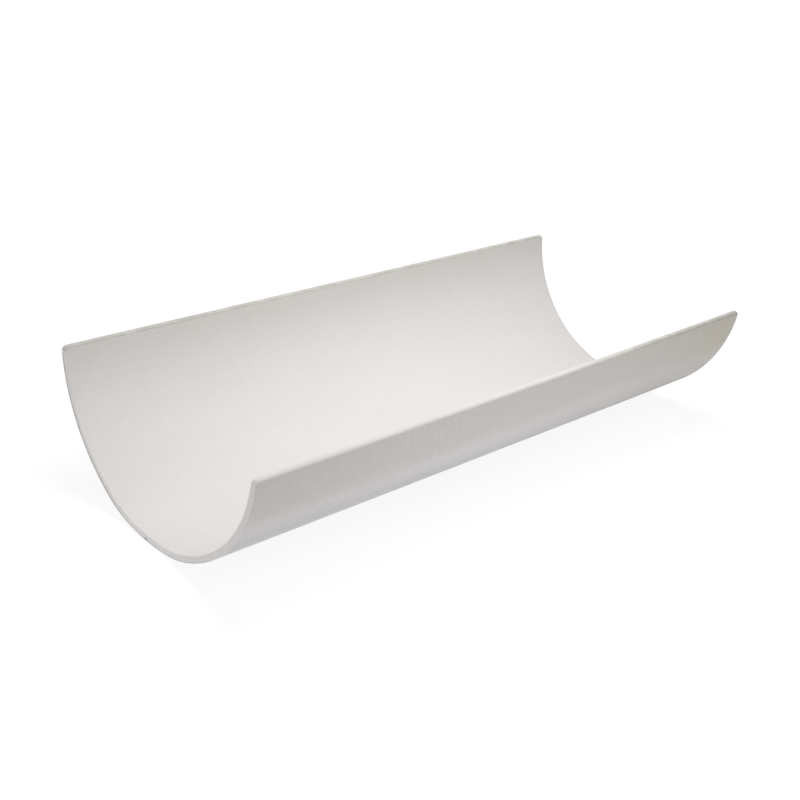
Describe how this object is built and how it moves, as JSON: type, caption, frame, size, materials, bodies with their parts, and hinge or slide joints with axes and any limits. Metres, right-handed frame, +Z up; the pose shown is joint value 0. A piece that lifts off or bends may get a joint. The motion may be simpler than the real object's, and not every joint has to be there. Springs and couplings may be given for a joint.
{
  "type": "half-round gutter section",
  "caption": "Short length of half-round plastic rainwater gutter with plain flat rims and square-cut ends; an open trough that carries roof water.",
  "frame": {"origin": "middle of the run, on the centre line, at the lowest point of the outside, where the channel touches the floor", "axes": "+X along the run, towards the end whose rim corners are less rounded; +Y across the trough; +Z up, out of the trough's open side"},
  "size_m": [0.25, 0.112, 0.052],
  "materials": {
    "upvc": "satin white extruded uPVC, fine grain, sawn ends"
  },
  "bodies": {
    "root": {"gutter_channel": "upvc"}
  },
  "joints": []
}
